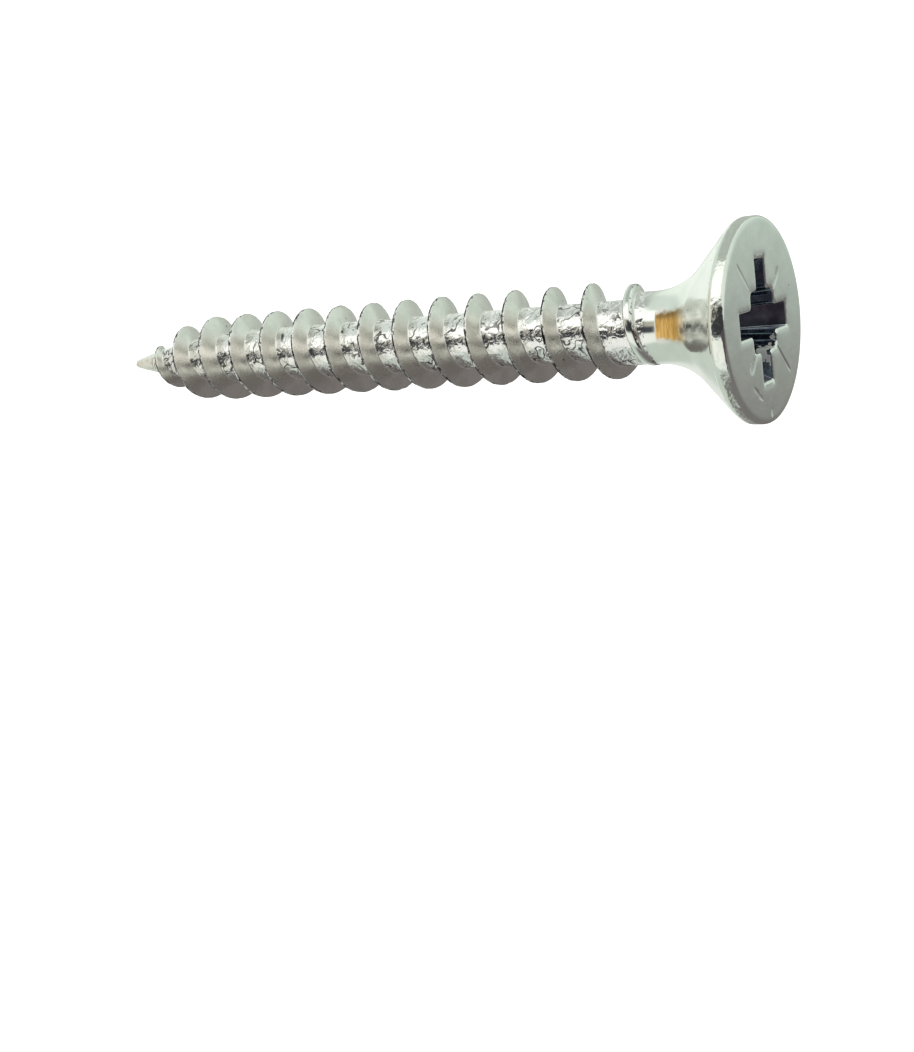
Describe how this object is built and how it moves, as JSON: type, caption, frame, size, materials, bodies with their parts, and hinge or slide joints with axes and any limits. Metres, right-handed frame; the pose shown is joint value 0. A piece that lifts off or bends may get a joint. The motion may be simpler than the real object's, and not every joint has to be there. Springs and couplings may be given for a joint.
{
  "type": "wood screw",
  "caption": "Countersunk wood screw with a full-length coarse right-hand thread, a gimlet point, a curved underhead and a cross recess, in bright zinc plate.",
  "frame": {"origin": "centre of the head's flat top face, which lies flush with the wood's surface when the screw is home", "axes": "+Z along the screw's axis, out of the head and towards the driver; the point is at -Z; two of the recess's four wings lie along +X and -X, the others along +Y and -Y"},
  "size_m": [0.007, 0.007, 0.0287],
  "materials": {
    "bright_zinc": "bright zinc plate over hardened steel, polished by rolling at the thread's root, satin on its flanks"
  },
  "bodies": {
    "root": {"screw": "bright_zinc"}
  },
  "joints": []
}
